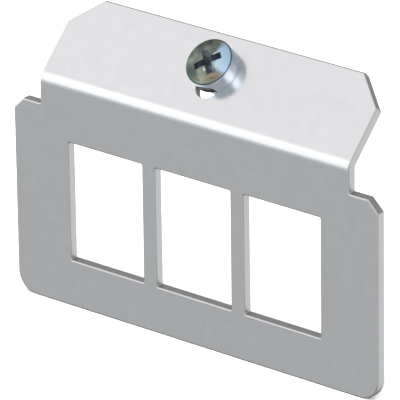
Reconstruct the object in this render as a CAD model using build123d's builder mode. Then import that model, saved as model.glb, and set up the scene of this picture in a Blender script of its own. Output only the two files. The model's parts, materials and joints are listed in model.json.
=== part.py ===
"""Keystone insert plate: a folded sheet with a row of jack cut-outs and a captive fixing screw.

Frame, in millimetres: the origin is the middle of the sheet's bottom edge. X runs along the row of
cut-outs, the front face looks along -Y and Z points up. The flange leans back, towards +Y.
"""

from build123d import *

from math import cos, radians, sin
import os

# Sheet and fold
sheet_thickness = 1.5
bend_inner_radius = 1.0
flange_lean = 45.0
flange_length = 15.0

# Outline of the plate
neck_width = 61.0
shoulder_step = 5.5
shoulder_height = 33.4
neck_height = 4.6
foot_corner_radius = 3.5
shoulder_chamfer = 2.0
neck_corner_radius = 0.2
flange_chamfer = 5.0
sheared_edge_radius = 0.3

# Keystone cut-outs
cutout_count = 3
cutout_pitch = 17.5
cutout_width = 14.8
cutout_height = 20.0
cutout_sill = 8.0
cutout_corner_radius = 0.2

# Slot for the fixing screw, measured up the flange from the virtual edge of the fold
slot_low_centre = 6.0
screw_from_low_centre = 2.95
screw_from_high_centre = 0.85
slot_side_clearance = 0.1
slot_edge_radius = 0.1

# Fixing screw with a raised cylindrical head, its thread taken as a plain shank, and a bare neck
shank_diameter = 4.0
screw_length = 8.0
screw_neck_diameter = 3.5
screw_tip_chamfer = 0.4
head_diameter = 8.0
head_side_height = 2.55
head_crown_height = 0.55
head_rim_radius = 0.25

# Cross recess in the head
recess_span = 4.9
recess_foot_span = 2.2
recess_slot_width = 1.2
recess_foot_width = 0.8
recess_depth = 2.2
recess_core_diameter = 2.3
recess_foot_core_diameter = 1.3
recess_tip_depth = 0.35
recess_turn = 37.0

# Retaining washer, loose on the neck and stopped by the thread
washer_slot_lap = 1.1
washer_thickness = 0.8
washer_bore_clearance = 0.05
washer_end_play = 0.15

# Directions and places worked out from the values above
plate_width = neck_width + 2 * shoulder_step
fold_height = shoulder_height + neck_height
lean = radians(flange_lean)
up_flange = Vector(0, sin(lean), cos(lean))
flange_normal = Vector(0, -cos(lean), sin(lean))
front_face_y = -sheet_thickness / 2
fold_edge = Vector(0, front_face_y, fold_height)
flange_end = fold_edge + up_flange * flange_length
bend_outer_radius = bend_inner_radius + sheet_thickness
slot_width = shank_diameter + 2 * slot_side_clearance
slot_travel = screw_from_low_centre + screw_from_high_centre
slot_middle = slot_low_centre + slot_travel / 2
screw_station = slot_low_centre + screw_from_low_centre
screw_seat = fold_edge + up_flange * screw_station
screw_axis = Axis(origin=screw_seat, direction=flange_normal)
shank_radius = shank_diameter / 2
neck_radius = screw_neck_diameter / 2
neck_foot = -sheet_thickness - washer_thickness - washer_end_play
head_radius = head_diameter / 2
head_height = head_side_height + head_crown_height
recess_floor = head_height - recess_depth
washer_radius = slot_width / 2 + washer_slot_lap

front_plane = Plane(origin=(0, front_face_y, 0), x_dir=(1, 0, 0), z_dir=(0, -1, 0))
flange_plane = Plane(origin=fold_edge, x_dir=(1, 0, 0), z_dir=flange_normal)
seat_plane = Plane(origin=screw_seat, x_dir=(1, 0, 0), z_dir=flange_normal)
screw_section_plane = Plane(origin=screw_seat, x_dir=(1, 0, 0), z_dir=-up_flange)
crown_plane = seat_plane.offset(head_height)

os.makedirs("parts", exist_ok=True)


# Insert plate, one sheet: the folded section, its outline, then the punched holes
with BuildPart() as plate:
    with BuildSketch(Plane.YZ):
        with BuildLine():
            FilletPolyline(
                (front_face_y, 0),
                (front_face_y, fold_height),
                (flange_end.Y, flange_end.Z),
                radius=bend_outer_radius,
            )
            offset(amount=sheet_thickness, side=Side.RIGHT, closed=True)
        make_face()
    extrude(amount=plate_width / 2, both=True)

    # The sheet beside the neck and the flange is cut away down to the shoulders
    with BuildSketch(front_plane) as notches:
        with BuildLine():
            Polyline(
                (neck_width / 2, shoulder_height),
                (plate_width / 2 - shoulder_chamfer, shoulder_height),
                (plate_width / 2, shoulder_height - shoulder_chamfer),
                (plate_width / 2 + shoulder_step, shoulder_height - shoulder_chamfer),
                (plate_width / 2 + shoulder_step, fold_height + flange_length),
                (neck_width / 2, fold_height + flange_length),
                close=True,
            )
        make_face()
        neck_corner = notches.vertices().group_by(Axis.X)[0].sort_by(Axis.Y)[0]
        fillet(neck_corner, neck_corner_radius)
        mirror(about=Plane.YZ)
    extrude(amount=-flange_length - sheet_thickness, mode=Mode.SUBTRACT)

    foot_corners = plate.edges().filter_by(Axis.Y).group_by(Axis.Z)[0]
    fillet(foot_corners, foot_corner_radius)

    # Clipped rear corners of the flange
    flange_corners = (
        plate.edges()
        .filter_by(lambda edge: abs(edge.tangent_at(0.5).dot(flange_normal)) > 0.99)
        .group_by(Axis(origin=(0, 0, 0), direction=up_flange))[-1]
    )
    chamfer(flange_corners, flange_chamfer)

    with BuildSketch(front_plane):
        with Locations((0, cutout_sill + cutout_height / 2)):
            with GridLocations(cutout_pitch, 0, cutout_count, 1):
                RectangleRounded(cutout_width, cutout_height, cutout_corner_radius)
    extrude(amount=-sheet_thickness, mode=Mode.SUBTRACT)

    # The shear draws the sheet's front edges round, all along the outline and the cut-outs
    front_skin = plate.faces().filter_by(
        lambda face: face.normal_at().Y < -0.3 and face.normal_at().Z > -0.3
    )
    skin_edges = ShapeList(edge for face in front_skin for edge in face.edges())
    sheared_edges = skin_edges.filter_by(
        lambda edge: sum(edge.is_same(other) for other in skin_edges) == 1
    )
    fillet(sheared_edges, sheared_edge_radius)

    # The finer slot is punched last, and only its rim is eased
    with BuildSketch(flange_plane):
        with Locations((0, slot_middle)):
            SlotCenterToCenter(slot_travel, slot_width, rotation=90)
    extrude(amount=-sheet_thickness, mode=Mode.SUBTRACT)
    slot_edges = plate.edges(Select.LAST).filter_by(
        lambda edge: abs((edge.center() - fold_edge).dot(flange_normal)) < sheet_thickness / 10
    )
    fillet(slot_edges, slot_edge_radius)

plate.part.label = "plate"
export_step(plate.part, "parts/plate.step")


# Fixing screw, turned about its own axis, then struck with a cross recess
with BuildPart() as fixing_screw:
    with BuildSketch(screw_section_plane) as screw_section:
        with BuildLine():
            Polyline(
                (0, head_height),
                (0, -screw_length),
                (shank_radius - screw_tip_chamfer, -screw_length),
                (shank_radius, screw_tip_chamfer - screw_length),
                (shank_radius, neck_foot),
                (neck_radius, neck_foot),
                (neck_radius, 0),
                (head_radius, 0),
                (head_radius, head_side_height),
            )
            ThreePointArc(
                (head_radius, head_side_height),
                (head_radius / 2, head_side_height + head_crown_height * 3 / 4),
                (0, head_height),
            )
        make_face()
        rim = screw_section.vertices().group_by(Axis.X)[-1].sort_by(Axis.Y)[-1]
        fillet(rim, head_rim_radius)
    revolve(axis=screw_axis)

    # Two crossing tapered wings and a tapered core with a drill point
    for wing_turn in (recess_turn, recess_turn + 90):
        with BuildSketch(crown_plane):
            Rectangle(recess_span, recess_slot_width, rotation=wing_turn)
        with BuildSketch(crown_plane.offset(-recess_depth)):
            Rectangle(recess_foot_span, recess_foot_width, rotation=wing_turn)
        loft(mode=Mode.SUBTRACT)
    with BuildSketch(crown_plane):
        Circle(recess_core_diameter / 2)
    with BuildSketch(crown_plane.offset(-recess_depth)):
        Circle(recess_foot_core_diameter / 2)
    loft(mode=Mode.SUBTRACT)
    with BuildSketch(screw_section_plane):
        with BuildLine():
            Polyline(
                (0, recess_floor),
                (recess_foot_core_diameter / 2, recess_floor),
                (0, recess_floor - recess_tip_depth),
                close=True,
            )
        make_face()
    revolve(axis=screw_axis, mode=Mode.SUBTRACT)

fixing_screw.part.label = "fixing_screw"
export_step(fixing_screw.part, "parts/fixing_screw.step")


# Retaining washer, screwed over the thread onto the neck, so that the screw stays in its slot
with BuildPart() as retaining_washer:
    with BuildSketch(seat_plane.offset(-sheet_thickness)):
        Circle(washer_radius)
        Circle(neck_radius + washer_bore_clearance, mode=Mode.SUBTRACT)
    extrude(amount=-washer_thickness)

retaining_washer.part.label = "retaining_washer"
export_step(retaining_washer.part, "parts/retaining_washer.step")
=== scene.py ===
"""Looks of a keystone insert plate: galvanised sheet, a zinc-plated screw and its washer.

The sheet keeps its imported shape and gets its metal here. The screw is turned again with its thread and
its cross recess. Everything is in metres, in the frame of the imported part.
"""

import json
import math

import bmesh
import bpy
from bpy.props import FloatProperty, FloatVectorProperty, PointerProperty
from bpy.types import Operator, Panel, PropertyGroup
from mathutils import Matrix, Vector


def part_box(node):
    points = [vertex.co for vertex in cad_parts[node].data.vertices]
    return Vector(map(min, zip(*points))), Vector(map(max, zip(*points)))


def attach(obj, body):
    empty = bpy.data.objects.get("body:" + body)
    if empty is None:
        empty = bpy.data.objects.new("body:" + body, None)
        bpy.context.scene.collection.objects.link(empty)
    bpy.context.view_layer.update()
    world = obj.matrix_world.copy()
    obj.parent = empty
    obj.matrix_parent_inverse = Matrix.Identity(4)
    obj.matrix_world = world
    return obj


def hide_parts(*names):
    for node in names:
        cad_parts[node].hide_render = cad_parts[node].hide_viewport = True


bl_info = {
    "name": "Keystone insert plate",
    "version": (1, 0, 0),
    "blender": (4, 5, 0),
    "location": "View3D > Sidebar > Insert plate",
    "description": "Finishes a galvanised insert plate with its fixing screw and stage",
    "category": "Object",
}

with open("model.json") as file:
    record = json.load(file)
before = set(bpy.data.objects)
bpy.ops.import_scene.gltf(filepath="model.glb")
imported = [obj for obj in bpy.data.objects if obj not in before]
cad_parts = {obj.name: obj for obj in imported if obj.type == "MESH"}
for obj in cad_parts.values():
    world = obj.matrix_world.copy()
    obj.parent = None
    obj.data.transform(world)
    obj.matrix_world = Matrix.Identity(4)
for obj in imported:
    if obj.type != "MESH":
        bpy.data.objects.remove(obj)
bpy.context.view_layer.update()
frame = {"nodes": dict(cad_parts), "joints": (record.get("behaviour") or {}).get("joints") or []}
MM = 0.001
# The turned head is this much slimmer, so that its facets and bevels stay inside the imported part's box
FACET_ALLOWANCE = 0.002 * MM
# Depth of a metric external thread over its pitch
THREAD_DEPTH = 0.6134
# A ramp's colours end at 1, so the world holds its radiances as shares of this one
FULL_RADIANCE = 2.0

# The fixing screw's axis, taken from the joint that it turns on
SCREW_JOINT = next(joint for joint in frame["joints"] if joint["name"] == "screw_turn")
SCREW_SEAT = Vector(SCREW_JOINT["pos_m"])
SCREW_AXIS = Vector(SCREW_JOINT["axis"]).normalized()


def linear_colour(hex_colour):
    """An sRGB hex colour as linear red, green and blue with an alpha of 1."""
    channels = [int(hex_colour[i : i + 2], 16) / 255 for i in (0, 2, 4)]
    linear = [c / 12.92 if c <= 0.04045 else ((c + 0.055) / 1.055) ** 2.4 for c in channels]
    return (*linear, 1.0)


def add_node(tree, kind, inputs=None, stops=None, **settings):
    """Adds a shader node with its settings, a ramp's stops, and its inputs as values or links."""
    node = tree.nodes.new(kind)
    for name, value in settings.items():
        setattr(node, name, value)
    for key, value in (inputs or {}).items():
        if isinstance(value, bpy.types.NodeSocket):
            tree.links.new(value, node.inputs[key])
        else:
            node.inputs[key].default_value = value
    if stops:
        elements = node.color_ramp.elements
        while len(elements) < len(stops):
            elements.new(1.0)
        for element, (position, colour) in zip(elements, stops):
            element.position = position
            element.color = colour
    return node


def new_material(name):
    """An empty material with a Principled shader that feeds its output."""
    material = bpy.data.materials.new(name)
    material.use_nodes = True
    tree = material.node_tree
    tree.nodes.clear()
    shader = add_node(tree, "ShaderNodeBsdfPrincipled")
    add_node(tree, "ShaderNodeOutputMaterial", {"Surface": shader.outputs["BSDF"]})
    return material, tree, shader


def galvanised_sheet_steel(settings):
    """Skin-passed galvanised sheet: satin zinc, its spangle rolled out, to the eye an even pale grey."""
    material, tree, shader = new_material("galvanised_sheet_steel")
    coordinates = add_node(tree, "ShaderNodeTexCoord")
    place = coordinates.outputs["Object"]
    normal = coordinates.outputs["Normal"]

    # How flat the surface lies in the sheet's faces: 1 on the skin, less where it turns away. The flange's
    # face looks along the screw's axis, and only the folded part has it
    facings = []
    for face_normal in ((0.0, 1.0, 0.0), tuple(SCREW_AXIS)):
        facing = add_node(
            tree, "ShaderNodeVectorMath", {0: normal, 1: face_normal}, operation="DOT_PRODUCT"
        ).outputs["Value"]
        facings.append(add_node(tree, "ShaderNodeMath", {0: facing}, operation="ABSOLUTE").outputs[0])
    height = add_node(tree, "ShaderNodeSeparateXYZ", {"Vector": place}).outputs["Z"]
    folded = add_node(
        tree, "ShaderNodeMapRange",
        {"Value": height, "From Min": settings.fold_start - 0.5 * MM, "From Max": settings.fold_start},
    ).outputs["Result"]
    facings[1] = add_node(
        tree, "ShaderNodeMath", {0: facings[1], 1: folded}, operation="MULTIPLY"
    ).outputs[0]
    flat = add_node(
        tree, "ShaderNodeMath", {0: facings[0], 1: facings[1]}, operation="MAXIMUM"
    ).outputs[0]
    skin_end = 0.98
    corner_start = 0.83
    sheared = add_node(
        tree, "ShaderNodeMapRange", {"Value": flat, "From Min": skin_end, "From Max": corner_start},
        interpolation_type="SMOOTHSTEP",
    ).outputs["Result"]

    # The last of the spangle: grains a shade lighter or darker than their neighbours
    spangle = add_node(tree, "ShaderNodeTexVoronoi", {"Vector": place, "Scale": 1 / settings.spangle_size})
    grain = add_node(tree, "ShaderNodeSeparateColor", {"Color": spangle.outputs["Color"]}).outputs["Red"]

    # Temper-mill lines, long along the row and fine across it, and the pits of its matt rolls. Real ones
    # are near 0.1 mm, too fine to show, so both are drawn two to four times as coarse
    line_space = add_node(
        tree, "ShaderNodeMapping", {"Vector": place, "Scale": (0.05, 1.0, 1.0)}
    ).outputs["Vector"]
    rolling = add_node(
        tree, "ShaderNodeTexNoise",
        {"Vector": line_space, "Scale": 1 / settings.rolling_line_spacing, "Detail": 3.0,
         "Roughness": 0.6},
    ).outputs["Fac"]
    pits = add_node(
        tree, "ShaderNodeTexNoise", {"Vector": place, "Scale": 1 / settings.grain_size, "Detail": 2.0},
    ).outputs["Fac"]

    tone = grain
    for share, pattern in ((0.5, pits), (0.3, rolling)):
        tone = add_node(
            tree, "ShaderNodeMix", {"Factor": share, 2: tone, 3: pattern}, data_type="FLOAT"
        ).outputs[0]
    darker = (*(c * (1 - settings.grain_contrast) for c in settings.zinc_colour), 1.0)
    lighter = (*(c * (1 + settings.grain_contrast) for c in settings.zinc_colour), 1.0)
    skin = add_node(
        tree, "ShaderNodeValToRGB", {"Fac": tone}, stops=[(0.25, darker), (0.75, lighter)]
    ).outputs["Color"]
    # The shear leaves the drawn-in corner duller than the burnished wall behind it
    cut = add_node(
        tree, "ShaderNodeValToRGB", {"Fac": flat},
        stops=[(0.2, (*settings.sheared_colour, 1.0)), (0.5, (*settings.corner_colour, 1.0))],
    ).outputs["Color"]
    colour = add_node(tree, "ShaderNodeMix", {"Factor": sheared, 6: skin, 7: cut}, data_type="RGBA")
    tree.links.new(colour.outputs[2], shader.inputs["Base Color"])

    roughness = add_node(
        tree, "ShaderNodeMix",
        {"Factor": sheared, 2: settings.zinc_roughness, 3: settings.sheared_roughness}, data_type="FLOAT",
    ).outputs[0]
    tree.links.new(roughness, shader.inputs["Roughness"])
    shader.inputs["Metallic"].default_value = 1.0

    texture = add_node(
        tree, "ShaderNodeMix", {"Factor": 0.4, 2: pits, 3: rolling}, data_type="FLOAT"
    ).outputs[0]
    bump = add_node(tree, "ShaderNodeBump", {"Height": texture, "Strength": 0.04, "Distance": 0.01 * MM})
    tree.links.new(bump.outputs["Normal"], shader.inputs["Normal"])
    return material


def blue_passivated_zinc(settings):
    """Bright zinc plating under a blue passivate.

    To the eye it is a hard gleam under a thin film that runs from grey-green to blue and straw. On the
    crown these colours are partly the film's and partly painted reflection; its rim and the recess with
    its lips carry painted shade, and two painted glints sit on the lips.
    """
    material, tree, shader = new_material("blue_passivated_zinc")
    coordinates = add_node(tree, "ShaderNodeTexCoord")
    # The film follows the head, so place and normal are taken in the screw's own frame
    turn = screw_frame().to_euler()
    place = add_node(
        tree, "ShaderNodeMapping",
        {"Vector": coordinates.outputs["Object"], "Location": SCREW_SEAT, "Rotation": turn},
        vector_type="TEXTURE",
    ).outputs["Vector"]
    normal = add_node(
        tree, "ShaderNodeMapping", {"Vector": coordinates.outputs["Normal"], "Rotation": turn},
        vector_type="TEXTURE",
    ).outputs["Vector"]
    height = add_node(tree, "ShaderNodeSeparateXYZ", {"Vector": place}).outputs["Z"]
    tilt = add_node(tree, "ShaderNodeSeparateXYZ", {"Vector": normal}).outputs["Z"]
    flat_place = add_node(
        tree, "ShaderNodeVectorMath", {0: place, 1: (1.0, 1.0, 0.0)}, operation="MULTIPLY"
    ).outputs["Vector"]
    radius = add_node(tree, "ShaderNodeVectorMath", {0: flat_place}, operation="LENGTH").outputs["Value"]

    # Slow clouds in the film's thickness, which also pull the crown's patches out of shape
    cloud = add_node(
        tree, "ShaderNodeTexNoise",
        {"Vector": place, "Scale": 1 / settings.cloud_size, "Detail": 1.5},
    )
    drift = add_node(
        tree, "ShaderNodeVectorMath", {0: cloud.outputs["Color"], 1: (-0.5, -0.5, -0.5)}, operation="ADD",
    ).outputs["Vector"]
    pulled = add_node(
        tree, "ShaderNodeVectorMath", {0: drift, 1: (0.7 * settings.cloud_size,) * 3, 2: flat_place},
        operation="MULTIPLY_ADD",
    ).outputs["Vector"]

    # Each limit: what is measured, where the mask is none, and where it is full
    side = settings.head_side_height
    reach = settings.recess_span / 2
    limits = {
        "crown": (height, side - 0.1 * MM, side + 0.02 * MM),
        "rim_turned": (tilt, 0.965, 0.93),
        "rim_raised": (tilt, 0.02, 0.25),
        "in_cross": (radius, reach + 0.15 * MM, reach + 0.05 * MM),
        "in_head": (height, 0.0, 0.2 * MM),
        "edge": (tilt, 0.955, 0.93),
        "flank": (tilt, 0.50, 0.30),
        "deep": (height, side - 0.1 * MM, side - 0.4 * MM),
    }
    masks = {}
    for name, (value, none, full) in limits.items():
        masks[name] = add_node(
            tree, "ShaderNodeMapRange", {"Value": value, "From Min": none, "From Max": full},
            interpolation_type="SMOOTHSTEP",
        ).outputs["Result"]
    masks["struck"] = add_node(
        tree, "ShaderNodeMath", {0: masks["flank"], 1: masks["deep"]}, operation="MAXIMUM"
    ).outputs[0]
    products = {
        # The crown's rim mask carries a painted dark reflection
        "rim": ("rim_turned", "rim_raised", "crown"),
        "painted_lip_shade": ("in_cross", "in_head", "edge"),
        "recess": ("in_cross", "in_head", "struck"),
    }
    for name, (first, *others) in products.items():
        masks[name] = masks[first]
        for other in others:
            masks[name] = add_node(
                tree, "ShaderNodeMath", {0: masks[name], 1: masks[other]}, operation="MULTIPLY"
            ).outputs[0]

    # Patches of the crown, partly the film's tint and partly painted reflection: dark grey-green on the
    # left, light blue on the right, straw and brown towards the lower edge. Each has its middle and half
    # axes in the head's plane in mm, turn in degrees, the share of the half axes that is fully covered,
    # and colour. The two last ones are painted glints on the recess's lips
    patches = (
        ((-2.0, -2.3), (2.0, 1.5), -35.0, 0.3, "3a4842"),
        ((2.6, 1.2), (1.65, 3.1), 22.0, 0.65, "a2bfd6"),
        ((1.9, -0.2), (1.0, 0.8), 0.0, 0.2, "a9c2cc"),
        ((2.1, -2.1), (1.9, 0.75), 32.0, 0.4, "807a68"),
        ((2.0, -2.45), (1.5, 0.25), 30.0, 0.2, "66574c"),
        ((-0.2, -3.35), (0.9, 0.22), -4.0, 0.3, "5a4a4e"),
        # Two painted glints on the recess's lips
        ((0.10, -1.35), (0.60, 0.18), -49.0, 0.2, "b4bcb4"),
        ((0.66, 1.36), (0.75, 0.16), 41.0, 0.2, "ccd2d2"),
    )
    patch_edge = 1.15
    # The crown's ground is a dark grey-green, partly the film's tint and partly painted dark reflection
    crown = add_node(
        tree, "ShaderNodeValToRGB", {"Fac": cloud.outputs["Fac"]},
        stops=[(0.38, linear_colour("505b57")), (0.62, linear_colour("71776c"))],
    ).outputs["Color"]
    for centre, axes, turn_deg, hardness, colour in patches:
        oval = add_node(
            tree, "ShaderNodeMapping",
            {"Vector": pulled, "Location": (centre[0] * MM, centre[1] * MM, 0.0),
             "Rotation": (0.0, 0.0, math.radians(turn_deg)), "Scale": (axes[0] * MM, axes[1] * MM, 1.0)},
            vector_type="TEXTURE",
        ).outputs["Vector"]
        distance = add_node(tree, "ShaderNodeVectorMath", {0: oval}, operation="LENGTH").outputs["Value"]
        cover = add_node(
            tree, "ShaderNodeMapRange", {"Value": distance, "From Min": patch_edge, "From Max": hardness},
            interpolation_type="SMOOTHSTEP",
        ).outputs["Result"]
        crown = add_node(
            tree, "ShaderNodeMix", {"Factor": cover, 6: crown, 7: linear_colour(colour)}, data_type="RGBA"
        ).outputs[2]

    film = add_node(
        tree, "ShaderNodeValToRGB", {"Fac": cloud.outputs["Fac"]},
        stops=[(0.35, linear_colour("bcc4cc")), (0.65, (*settings.film_colour, 1.0))],
    ).outputs["Color"]
    # Over the film go the crown's colours with their painted reflection and glints, a painted dark
    # reflection on the rim, painted shade on the recess's lips and a little painted shade in the recess
    for mask, colour in (
        ("crown", crown),
        # Painted dark reflection along the crown's rim
        ("rim", linear_colour("2c3842")),
        # Painted shade on the recess's lips
        ("painted_lip_shade", linear_colour("7f8886")),
        # The recess is a little darker than the film, as painted shade
        ("recess", linear_colour("9aa3ab")),
    ):
        film = add_node(
            tree, "ShaderNodeMix", {"Factor": masks[mask], 6: film, 7: colour}, data_type="RGBA"
        ).outputs[2]
    tree.links.new(film, shader.inputs["Base Color"])

    roughness = add_node(
        tree, "ShaderNodeMix",
        {"Factor": masks["recess"], 2: settings.plating_roughness, 3: settings.recess_roughness},
        data_type="FLOAT",
    ).outputs[0]
    tree.links.new(roughness, shader.inputs["Roughness"])
    shader.inputs["Metallic"].default_value = 1.0

    # Drawing lines down the head's side, fine across and long along the axis. Real ones are near 0.03 mm,
    # too fine to show, so they are drawn about six times as coarse
    stretched = add_node(
        tree, "ShaderNodeMapping", {"Vector": place, "Scale": (1.0, 1.0, 0.06)}
    ).outputs["Vector"]
    drawing = add_node(
        tree, "ShaderNodeTexNoise",
        {"Vector": stretched, "Scale": 1 / settings.drawing_line_spacing, "Detail": 2.0},
    ).outputs["Fac"]
    bump = add_node(tree, "ShaderNodeBump", {"Height": drawing, "Strength": 0.6, "Distance": 0.01 * MM})
    tree.links.new(bump.outputs["Normal"], shader.inputs["Normal"])
    return material


def natural_polyamide(settings):
    """Uncoloured polyamide punched from film: milky, a little translucent, satin."""
    material, tree, shader = new_material("natural_polyamide")
    place = add_node(tree, "ShaderNodeTexCoord").outputs["Object"]
    cloud = add_node(
        tree, "ShaderNodeTexNoise", {"Vector": place, "Scale": 1 / settings.milk_size, "Detail": 2.0}
    ).outputs["Fac"]
    milk = add_node(
        tree, "ShaderNodeValToRGB", {"Fac": cloud},
        stops=[(0.3, linear_colour("dcd8c8")), (0.7, linear_colour("efece0"))],
    ).outputs["Color"]
    tree.links.new(milk, shader.inputs["Base Color"])
    shader.inputs["Roughness"].default_value = 0.45
    shader.inputs["IOR"].default_value = 1.53
    shader.inputs["Subsurface Weight"].default_value = 0.25
    shader.inputs["Subsurface Radius"].default_value = (1.0, 0.95, 0.85)
    shader.inputs["Subsurface Scale"].default_value = settings.washer_translucency
    return material


def screw_frame():
    """Stands the screw on its seat: local Z is the axis out of the head, local X is the row's X."""
    side = Vector((1, 0, 0))
    across = SCREW_AXIS.cross(side)
    turn = Matrix((side, across, SCREW_AXIS)).transposed().to_4x4()
    return Matrix.Translation(SCREW_SEAT) @ turn


def mesh_object(name, verts, faces, material):
    """A smooth-shaded mesh object from points and faces."""
    mesh = bpy.data.meshes.new(name)
    mesh.from_pydata(verts, [], faces)
    mesh.materials.append(material)
    mesh.polygons.foreach_set("use_smooth", [True] * len(mesh.polygons))
    piece = bpy.data.objects.new(name, mesh)
    bpy.context.scene.collection.objects.link(piece)
    return piece


def lathe(profile, segments):
    """Points and faces of a profile of (radius, height) turned about Z. It starts and ends on the axis."""
    verts = [(0.0, 0.0, profile[0][1])]
    for radius, height in profile[1:-1]:
        for step in range(segments):
            angle = 2 * math.pi * step / segments
            verts.append((radius * math.cos(angle), radius * math.sin(angle), height))
    verts.append((0.0, 0.0, profile[-1][1]))
    rings = len(profile) - 2
    faces = []
    for step in range(segments):
        after = (step + 1) % segments
        faces.append((0, 1 + step, 1 + after))
        for ring in range(rings - 1):
            low, high = 1 + ring * segments, 1 + (ring + 1) * segments
            faces.append((low + step, high + step, high + after, low + after))
        last = 1 + (rings - 1) * segments
        faces.append((len(verts) - 1, last + after, last + step))
    return verts, faces


def arc(centre, radius, start, end, steps):
    """Points (radius, height) on an arc, angles in degrees."""
    points = []
    for step in range(steps + 1):
        angle = math.radians(start + (end - start) * step / steps)
        points.append((centre[0] + radius * math.cos(angle), centre[1] + radius * math.sin(angle)))
    return points


def screw_head(settings, material):
    """The raised cylindrical head with a stub of its neck, turned, before the recess is struck."""
    head_r = settings.head_diameter / 2 - FACET_ALLOWANCE
    rim = settings.head_rim_radius
    crown = settings.head_crown_height
    side = settings.head_side_height
    neck_r = settings.neck_diameter / 2
    crown_radius = (head_r**2 + crown**2) / (2 * crown)
    crown_centre = side + crown - crown_radius
    rim_centre_r = head_r - rim
    rim_centre_z = crown_centre + math.sqrt((crown_radius - rim) ** 2 - rim_centre_r**2)
    lean = math.degrees(math.atan2(rim_centre_z - crown_centre, rim_centre_r))
    foot = 0.05 * MM
    stub = 0.3 * MM
    profile = [(0.0, -stub), (neck_r, -stub), (neck_r, 0.0), (head_r - foot, 0.0)]
    profile += arc((head_r - foot, foot), foot, -90, 0, 4)[1:]
    profile += arc((rim_centre_r, rim_centre_z), rim, 0, lean, 6)
    profile += arc((0.0, crown_centre), crown_radius, lean, 90, 24)[1:-1]
    profile.append((0.0, crown_centre + crown_radius))
    segments = 128
    verts, faces = lathe(profile, segments)
    return mesh_object("screw_head", verts, faces, material)


def recess_cutter(settings, material):
    """The tools that strike the recess: two crossing tapered wings, and a tapered core with a point."""
    top = settings.head_side_height + settings.head_crown_height
    bottom = top - settings.recess_depth
    rise = 0.3 * MM
    spread = 1 + rise / settings.recess_depth * 0.5
    bm = bmesh.new()
    for quarter in (0, 90):
        turn = Matrix.Rotation(math.radians(settings.recess_turn_deg + quarter), 3, "Z")
        rings = []
        for height, span, width in (
            (bottom, settings.recess_foot_span, settings.recess_foot_width),
            (top, settings.recess_span, settings.recess_width),
            (top + rise, settings.recess_span * spread, settings.recess_width * spread),
        ):
            corners = [(x * span / 2, y * width / 2) for x, y in ((1, 1), (-1, 1), (-1, -1), (1, -1))]
            rings.append([bm.verts.new(turn @ Vector((x, y, height))) for x, y in corners])
        for low, high in zip(rings, rings[1:]):
            for i in range(4):
                bm.faces.new((low[i], low[(i + 1) % 4], high[(i + 1) % 4], high[i]))
        bm.faces.new(reversed(rings[0]))
        bm.faces.new(rings[-1])
    bmesh.ops.recalc_face_normals(bm, faces=bm.faces)
    mesh = bpy.data.meshes.new("recess_wings")
    bm.to_mesh(mesh)
    bm.free()
    wings = bpy.data.objects.new("recess_wings", mesh)
    bpy.context.scene.collection.objects.link(wings)

    foot_r = settings.recess_foot_core / 2
    core_r = settings.recess_core / 2
    profile = [
        (0.0, bottom - settings.recess_tip_depth),
        (foot_r, bottom),
        (core_r, top),
        (core_r, top + rise),
        (0.0, top + rise),
    ]
    segments = 32
    verts, faces = lathe(profile, segments)
    core = mesh_object("recess_core", verts, faces, material)
    return [wings, core]


def cut_away(piece, cutters):
    """Takes each cutter out of the piece and removes the cutter."""
    for cutter in cutters:
        cut = piece.modifiers.new("recess", "BOOLEAN")
        cut.operation = "DIFFERENCE"
        cut.solver = "EXACT"
        # The wings cross each other inside one mesh
        cut.use_self = True
        cut.object = cutter
    depsgraph = bpy.context.evaluated_depsgraph_get()
    cut_mesh = bpy.data.meshes.new_from_object(piece.evaluated_get(depsgraph))
    piece.modifiers.clear()
    piece.data = cut_mesh
    for cutter in cutters:
        bpy.data.objects.remove(cutter)


def screw_thread(settings, material):
    """The rolled metric thread: a strip wound round the shank, with its start and its tip chamfer."""
    pitch = settings.thread_pitch
    major = settings.shank_diameter / 2
    minor = major - THREAD_DEPTH * pitch
    start = -settings.neck_length
    end = -settings.screw_length
    chamfer = settings.tip_chamfer
    segments = 64
    run_in_slope = 1.5
    run_in_foot = 0.12 * MM
    merge_distance = 0.0005 * MM
    same_level = 0.001 * MM
    # Shares of one pitch: root, flank, crest, flank
    shape = [(0.0, minor), (0.1, minor), (0.44, major), (0.56, major), (0.9, minor)]
    turns = int((start - end) / pitch) + 3
    verts = []
    rows = []
    for turn in range(turns):
        for share, radius in shape:
            row = []
            for step in range(segments + 1):
                height = start + pitch - pitch * (turn + share + step / segments)
                height = min(start, max(end, height))
                tip_limit = major - chamfer + (height - end)
                run_in_limit = minor + (start - height) * run_in_slope + run_in_foot
                reach = min(radius, tip_limit, run_in_limit)
                angle = 2 * math.pi * step / segments
                row.append(len(verts))
                verts.append((reach * math.cos(angle), reach * math.sin(angle), height))
            rows.append(row)
    faces = []
    for low, high in zip(rows, rows[1:]):
        for i in range(segments):
            faces.append((low[i], low[i + 1], high[i + 1], high[i]))
    thread = mesh_object("screw_thread", verts, faces, material)
    bm = bmesh.new()
    bm.from_mesh(thread.data)
    bmesh.ops.remove_doubles(bm, verts=bm.verts, dist=merge_distance)
    bmesh.ops.dissolve_degenerate(bm, dist=merge_distance, edges=bm.edges)
    # Where the strip runs out, both ends are closed with one flat face
    for level in (start, end):
        spare = [
            face for face in bm.faces
            if all(abs(vert.co.z - level) < same_level for vert in face.verts)
        ]
        bmesh.ops.delete(bm, geom=spare, context="FACES")
        rim = [
            edge for edge in bm.edges
            if edge.is_boundary and all(abs(vert.co.z - level) < same_level for vert in edge.verts)
        ]
        for face in bmesh.ops.edgeloop_fill(bm, edges=rim)["faces"]:
            face.smooth = False
    bmesh.ops.recalc_face_normals(bm, faces=bm.faces)
    bm.to_mesh(thread.data)
    bm.free()
    return thread


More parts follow.
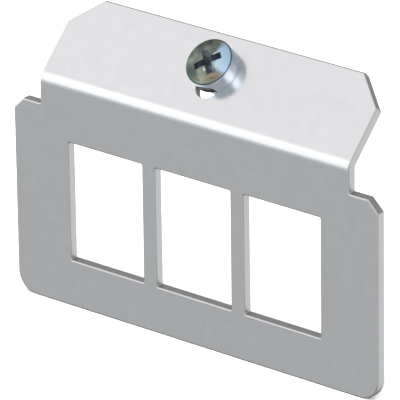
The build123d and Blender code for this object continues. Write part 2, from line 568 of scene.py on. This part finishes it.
def soften(piece, width, angle_deg):
    """A small bevel on the sharp edges, and smooth shading across it."""
    bevel = piece.modifiers.new("broken_edges", "BEVEL")
    bevel.width = width
    bevel.segments = 2
    bevel.limit_method = "ANGLE"
    bevel.angle_limit = math.radians(angle_deg)
    normals = piece.modifiers.new("even_normals", "WEIGHTED_NORMAL")
    normals.keep_sharp = True


class PlateSettings(PropertyGroup):
    """Finish of the galvanised sheet."""

    zinc_colour: FloatVectorProperty(
        name="Zinc colour", description="Reflected colour of the zinc skin",
        subtype="COLOR", size=3, min=0.0, max=1.0, default=linear_colour("c8cacc")[:3],
    )
    zinc_roughness: FloatProperty(
        name="Zinc roughness", description="Roughness of the skin-passed zinc",
        default=0.20, min=0.0, max=1.0,
    )
    grain_contrast: FloatProperty(
        name="Grain contrast", description="How much lighter or darker a grain is than the sheet",
        default=0.02,
    )
    grain_size: FloatProperty(
        name="Grain size", description="Size of the pits left by the mill's matt rolls",
        default=0.25 * MM, subtype="DISTANCE", unit="LENGTH",
    )
    spangle_size: FloatProperty(
        name="Spangle size", description="Width of a zinc grain",
        default=1.6 * MM, subtype="DISTANCE", unit="LENGTH",
    )
    rolling_line_spacing: FloatProperty(
        name="Rolling line spacing", description="Distance between the mill's fine lines",
        default=0.35 * MM, subtype="DISTANCE", unit="LENGTH",
    )
    fold_start: FloatProperty(
        name="Fold start", description="Height where the sheet starts to bend",
        default=36.5 * MM, subtype="DISTANCE", unit="LENGTH",
    )
    sheared_colour: FloatVectorProperty(
        name="Sheared colour", description="Reflected colour of the cut steel in the sheared walls",
        subtype="COLOR", size=3, min=0.0, max=1.0, default=linear_colour("b5b6b7")[:3],
    )
    corner_colour: FloatVectorProperty(
        name="Corner colour", description="Reflected colour of the corners that the shear draws in",
        subtype="COLOR", size=3, min=0.0, max=1.0, default=linear_colour("a6a7a8")[:3],
    )
    sheared_roughness: FloatProperty(
        name="Sheared roughness", description="Roughness of the sheared walls",
        default=0.40, min=0.0, max=1.0,
    )


class ScrewSettings(PropertyGroup):
    """Sizes and finish of the fixing screw."""

    head_diameter: FloatProperty(
        name="Head diameter", description="Across the head",
        default=8.0 * MM, unit="LENGTH",
    )
    head_side_height: FloatProperty(
        name="Head side height", description="From the seat to the crown's edge",
        default=2.55 * MM, unit="LENGTH",
    )
    head_crown_height: FloatProperty(
        name="Crown height", description="Rise of the crown above its edge",
        default=0.55 * MM, unit="LENGTH",
    )
    head_rim_radius: FloatProperty(
        name="Rim radius", description="Rounding between side and crown",
        default=0.25 * MM, unit="LENGTH",
    )
    neck_diameter: FloatProperty(
        name="Neck diameter", description="Bare neck below the head",
        default=3.5 * MM, unit="LENGTH",
    )
    neck_length: FloatProperty(
        name="Neck length", description="From the seat to the thread",
        default=2.45 * MM, unit="LENGTH",
    )
    shank_diameter: FloatProperty(
        name="Thread diameter", description="Over the thread's crests",
        default=4.0 * MM, unit="LENGTH",
    )
    screw_length: FloatProperty(
        name="Screw length", description="From the seat to the tip",
        default=8.0 * MM, unit="LENGTH",
    )
    tip_chamfer: FloatProperty(
        name="Tip chamfer", description="Chamfer at the thread's end",
        default=0.4 * MM, unit="LENGTH",
    )
    thread_pitch: FloatProperty(
        name="Thread pitch", description="Pitch of the coarse metric thread",
        default=0.7 * MM, unit="LENGTH",
    )
    recess_span: FloatProperty(
        name="Recess span", description="Tip to tip of the cross",
        default=4.9 * MM, unit="LENGTH",
    )
    recess_width: FloatProperty(
        name="Recess width", description="Width of an arm at the crown",
        default=1.2 * MM, unit="LENGTH",
    )
    recess_foot_span: FloatProperty(
        name="Recess foot span", description="Tip to tip at the bottom",
        default=2.2 * MM, unit="LENGTH",
    )
    recess_foot_width: FloatProperty(
        name="Recess foot width", description="Width of an arm at the bottom",
        default=0.8 * MM, unit="LENGTH",
    )
    recess_core: FloatProperty(
        name="Recess core", description="Diameter of the core at the crown",
        default=2.3 * MM, unit="LENGTH",
    )
    recess_foot_core: FloatProperty(
        name="Recess foot core", description="Diameter of the core at the bottom",
        default=1.3 * MM, unit="LENGTH",
    )
    recess_depth: FloatProperty(
        name="Recess depth", description="From the crown's top",
        default=2.2 * MM, unit="LENGTH",
    )
    recess_tip_depth: FloatProperty(
        name="Recess tip depth", description="Depth of the point at the bottom",
        default=0.35 * MM, unit="LENGTH",
    )
    recess_turn_deg: FloatProperty(
        name="Recess turn", description="Turn of the cross about the screw's axis, in degrees",
        default=41.0,
    )
    film_colour: FloatVectorProperty(
        name="Film colour", description="Reflected colour of the passivated zinc",
        subtype="COLOR", size=3, min=0.0, max=1.0, default=linear_colour("ccd6e0")[:3],
    )
    plating_roughness: FloatProperty(
        name="Plating roughness", description="Roughness of the bright plating",
        default=0.16, min=0.0, max=1.0,
    )
    edge_break: FloatProperty(
        name="Edge break", description="Width of the head's broken edges",
        default=0.09 * MM, unit="LENGTH",
    )
    edge_angle_deg: FloatProperty(
        name="Edge angle", description="Edges sharper than this are broken, in degrees",
        default=28.0,
    )
    cloud_size: FloatProperty(
        name="Cloud size", description="Size of the clouds in the passivate film",
        default=1.6 * MM, unit="LENGTH",
    )
    drawing_line_spacing: FloatProperty(
        name="Drawing line spacing", description="Distance between the lines down the head's side",
        default=0.18 * MM, unit="LENGTH",
    )
    recess_roughness: FloatProperty(
        name="Recess roughness", description="Roughness of the struck recess",
        default=0.45, min=0.0, max=1.0,
    )
    milk_size: FloatProperty(
        name="Milk size", description="Size of the washer's milky clouds",
        default=1.2 * MM, unit="LENGTH",
    )
    washer_translucency: FloatProperty(
        name="Washer translucency", description="How far light travels in the washer",
        default=0.4 * MM, unit="LENGTH",
    )


class StageSettings(PropertyGroup):
    """Camera, light and floor."""

    azimuth_deg: FloatProperty(
        name="Azimuth", description="Camera's place round the part, in degrees from the front",
        default=39.11,
    )
    elevation_deg: FloatProperty(
        name="Elevation", description="Camera's height above the horizon, in degrees",
        default=23.01,
    )
    roll_deg: FloatProperty(
        name="Roll", description="Camera's roll, in degrees",
        default=-0.85,
    )
    distance: FloatProperty(
        name="Distance", description="From the aimed point to the camera",
        default=884.01 * MM, unit="LENGTH",
    )
    aim_x: FloatProperty(
        name="Aim X", description="Aimed point along the row",
        default=1.36 * MM, unit="LENGTH",
    )
    aim_z: FloatProperty(
        name="Aim Z", description="Aimed point's height",
        default=24.98 * MM, unit="LENGTH",
    )
    focal_px: FloatProperty(
        name="Focal length", description="Focal length in pixels of the square frame",
        default=5727.7,
    )
    centre_x_px: FloatProperty(
        name="Centre X", description="Optical axis from the left, in pixels",
        default=199.04,
    )
    centre_y_px: FloatProperty(
        name="Centre Y", description="Optical axis from the top, in pixels",
        default=199.93,
    )
    floor_drop: FloatProperty(
        name="Floor drop", description="Floor below the bottom edge",
        default=0.0, unit="LENGTH",
    )
    lamp_size: FloatProperty(
        name="Lamp size", description="Side of the square lamp overhead",
        default=2.2, unit="LENGTH",
    )
    lamp_power: FloatProperty(
        name="Lamp power", description="Power of the lamp overhead",
        default=52.0, unit="POWER",
    )


class INSERTPLATE_OT_plate(Operator):
    """Gives the folded sheet its galvanised skin and its sheared walls"""

    bl_idname = "insertplate.plate"
    bl_label = "Finish the plate"

    def execute(self, context):
        plate = frame["nodes"]["plate"]
        plate.data.materials.clear()
        plate.data.materials.append(galvanised_sheet_steel(context.scene.insert_plate))
        return {"FINISHED"}


class INSERTPLATE_OT_screw(Operator):
    """Turns the fixing screw: crowned head with a cross recess, bare neck and rolled thread"""

    bl_idname = "insertplate.screw"
    bl_label = "Make the fixing screw"

    def execute(self, context):
        settings = context.scene.insert_screw
        zinc = blue_passivated_zinc(settings)
        head = screw_head(settings, zinc)
        cut_away(head, recess_cutter(settings, zinc))
        thread = screw_thread(settings, zinc)
        neck_r = settings.neck_diameter / 2
        # The neck runs a little way into the head's stub and into the thread
        neck_top = -0.2 * MM
        neck_foot = -settings.neck_length - 0.1 * MM
        profile = [(0.0, neck_foot), (neck_r, neck_foot), (neck_r, neck_top), (0.0, neck_top)]
        segments = 64
        verts, faces = lathe(profile, segments)
        neck = mesh_object("screw_neck", verts, faces, zinc)
        place = screw_frame()
        for piece in (head, thread, neck):
            piece.data.transform(place)
            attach(piece, "screw")
        soften(head, settings.edge_break, settings.edge_angle_deg)
        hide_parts("fixing_screw")
        return {"FINISHED"}


class INSERTPLATE_OT_washer(Operator):
    """Gives the retaining washer its natural polyamide"""

    bl_idname = "insertplate.washer"
    bl_label = "Finish the washer"

    def execute(self, context):
        washer = frame["nodes"]["retaining_washer"]
        washer.data.materials.clear()
        washer.data.materials.append(natural_polyamide(context.scene.insert_screw))
        return {"FINISHED"}


def studio_world(scene):
    """A studio's light by direction, as the metal mirrors it. The camera sees plain white."""
    world = bpy.data.worlds.new("studio")
    scene.world = world
    world.use_nodes = True
    tree = world.node_tree
    tree.nodes.clear()
    direction = add_node(tree, "ShaderNodeTexCoord").outputs["Generated"]
    parts = add_node(tree, "ShaderNodeSeparateXYZ", {"Vector": direction})
    height = add_node(
        tree, "ShaderNodeMapRange", {"Value": parts.outputs["Z"], "From Min": -1.0, "From Max": 1.0}
    ).outputs["Result"]
    # Stops are (height from straight down at -1 to straight up at 1, radiance). The ceiling is warmer
    front_stops = (
        (-1.0, 0.45), (-0.80, 0.42), (-0.62, 0.50), (-0.45, 0.655), (-0.30, 0.665), (-0.2, 0.82),
        (-0.1, 1.20), (0.0, 1.55), (0.1, 1.85), (0.2, 2.0), (0.54, 2.0), (0.65, 1.33), (0.82, 1.28),
        (1.0, 0.8),
    )
    rear_stops = (
        (-1.0, 0.45), (-0.5, 0.42), (-0.1, 0.55), (0.15, 0.50), (0.42, 0.45), (0.62, 0.36),
        (0.80, 0.6), (1.0, 0.8),
    )
    ceiling_height = 0.6
    ceiling_cool_share = 0.975
    halves = []
    for stops in (front_stops, rear_stops):
        tones = []
        for z, radiance in stops:
            warm = radiance / FULL_RADIANCE
            cool = warm * (ceiling_cool_share if z > ceiling_height else 1.0)
            tones.append(((z + 1) / 2, (warm, cool, cool, 1.0)))
        halves.append(add_node(tree, "ShaderNodeValToRGB", {"Fac": height}, stops=tones).outputs["Color"])
    behind = add_node(
        tree, "ShaderNodeMapRange",
        {"Value": parts.outputs["Y"], "From Min": -0.30, "From Max": 0.20},
        interpolation_type="SMOOTHSTEP",
    ).outputs["Result"]
    room = add_node(
        tree, "ShaderNodeMix", {"Factor": behind, 6: halves[0], 7: halves[1]}, data_type="RGBA"
    ).outputs[2]
    # Each panel: its name, where it stands seen from the part, the half widths in degrees where it is full
    # and where it has faded out, and its radiance
    panels = (
        ("pale wall behind, low on the right", (0.78, 0.48, -0.40), 22, 54, 1.28),
        ("table in front, on the right", (0.70, -0.60, -0.39), 15, 38, 1.0),
        ("grey wall in front", (0.25, -0.95, 0.15), 25, 50, 0.90),
        ("softbox in front, high on the right", (0.62, -0.58, 0.53), 7, 19, 2.8),
        ("shade behind, low on the left", (-0.58, 0.39, -0.71), 20, 34, 0.02),
    )
    for label, aim, full_deg, none_deg, radiance in panels:
        along = add_node(
            tree, "ShaderNodeVectorMath", {0: direction, 1: Vector(aim).normalized()},
            operation="DOT_PRODUCT",
        ).outputs["Value"]
        none = math.cos(math.radians(none_deg))
        full = math.cos(math.radians(full_deg))
        cover = add_node(
            tree, "ShaderNodeMapRange", {"Value": along, "From Min": none, "From Max": full},
            interpolation_type="SMOOTHSTEP",
        ).outputs["Result"]
        tone = (*(radiance / FULL_RADIANCE,) * 3, 1.0)
        room = add_node(
            tree, "ShaderNodeMix", {"Factor": cover, 6: room, 7: tone}, data_type="RGBA", label=label
        ).outputs[2]
    reflected = add_node(
        tree, "ShaderNodeBackground", {"Color": room, "Strength": FULL_RADIANCE}
    ).outputs[0]
    backdrop = add_node(
        tree, "ShaderNodeBackground", {"Color": (1, 1, 1, 1), "Strength": 1.0}
    ).outputs[0]
    seen = add_node(tree, "ShaderNodeLightPath").outputs["Is Camera Ray"]
    mixed = add_node(tree, "ShaderNodeMixShader", {0: seen, 1: reflected, 2: backdrop}).outputs[0]
    add_node(tree, "ShaderNodeOutputWorld", {"Surface": mixed})


def studio_camera(scene, settings):
    """The photograph's camera: far off, long lens, rolled a little."""
    azimuth = math.radians(settings.azimuth_deg)
    elevation = math.radians(settings.elevation_deg)
    roll = math.radians(settings.roll_deg)
    back = Vector((
        math.sin(azimuth) * math.cos(elevation),
        -math.cos(azimuth) * math.cos(elevation),
        math.sin(elevation),
    ))
    level = Vector((0, 0, 1)).cross(back).normalized()
    upward = back.cross(level)
    right = level * math.cos(roll) + upward * math.sin(roll)
    top = upward * math.cos(roll) - level * math.sin(roll)
    front_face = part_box("plate")[0][1]
    aim = Vector((settings.aim_x, front_face, settings.aim_z))
    lens_frame_px = 400
    camera_data = bpy.data.cameras.new("camera")
    camera_data.sensor_width = 36.0
    camera_data.lens = settings.focal_px / lens_frame_px * camera_data.sensor_width
    camera_data.shift_x = (lens_frame_px / 2 - settings.centre_x_px) / lens_frame_px
    camera_data.shift_y = (settings.centre_y_px - lens_frame_px / 2) / lens_frame_px
    camera_data.clip_start = 0.01
    camera_data.clip_end = 20.0
    camera = bpy.data.objects.new("camera", camera_data)
    scene.collection.objects.link(camera)
    turn = Matrix((right, top, back)).transposed().to_4x4()
    camera.matrix_world = Matrix.Translation(aim + back * settings.distance) @ turn
    scene.camera = camera


def studio_floor(scene, settings):
    """A pale floor that takes soft shadows and isn't mirrored in the metal."""
    material, tree, shader = new_material("pale_floor_paper")
    shader.inputs["Base Color"].default_value = linear_colour("fafafa")
    shader.inputs["Roughness"].default_value = 0.9
    shader.inputs["Specular IOR Level"].default_value = 0.0
    half = 3.0
    level = -settings.floor_drop
    corners = [(-half, -half, level), (half, -half, level), (half, half, level), (-half, half, level)]
    floor = mesh_object("floor", corners, [(0, 1, 2, 3)], material)
    floor.visible_glossy = False


def studio_lamp(scene, name, place, size, power):
    """A large soft lamp aimed at the part. It lights the floor and isn't mirrored."""
    light = bpy.data.lights.new(name, "AREA")
    light.size = size
    light.energy = power
    lamp = bpy.data.objects.new(name, light)
    scene.collection.objects.link(lamp)
    lamp.location = place
    lamp.rotation_euler = (-Vector(place)).to_track_quat("-Z", "Y").to_euler()
    lamp.visible_glossy = False


class INSERTPLATE_OT_stage(Operator):
    """Sets the camera, the pale floor and the soft studio light"""

    bl_idname = "insertplate.stage"
    bl_label = "Set the stage"

    def execute(self, context):
        scene = context.scene
        settings = scene.insert_stage
        scene.view_settings.view_transform = "Standard"
        studio_world(scene)
        studio_camera(scene, settings)
        studio_floor(scene, settings)
        studio_lamp(scene, "overhead", (0.3, -0.6, 1.6), settings.lamp_size, settings.lamp_power)
        return {"FINISHED"}


class INSERTPLATE_PT_panel(Panel):
    """Lists the pieces and the stage"""

    bl_idname = "INSERTPLATE_PT_panel"
    bl_label = "Insert plate"
    bl_space_type = "VIEW_3D"
    bl_region_type = "UI"
    bl_category = "Insert plate"

    def draw(self, context):
        for operator in OPERATORS:
            self.layout.operator(operator.bl_idname)


SETTINGS = {"insert_plate": PlateSettings, "insert_screw": ScrewSettings, "insert_stage": StageSettings}
OPERATORS = (INSERTPLATE_OT_plate, INSERTPLATE_OT_screw, INSERTPLATE_OT_washer, INSERTPLATE_OT_stage)
CLASSES = (*SETTINGS.values(), *OPERATORS, INSERTPLATE_PT_panel)


def register():
    for cls in CLASSES:
        bpy.utils.register_class(cls)
    for name, cls in SETTINGS.items():
        setattr(bpy.types.Scene, name, PointerProperty(type=cls))


def unregister():
    for name in SETTINGS:
        delattr(bpy.types.Scene, name)
    for cls in reversed(CLASSES):
        bpy.utils.unregister_class(cls)


def main():
    register()
    bpy.ops.insertplate.plate()
    bpy.ops.insertplate.screw()
    bpy.ops.insertplate.washer()
    bpy.ops.insertplate.stage()


if __name__ == "__main__":
    main()
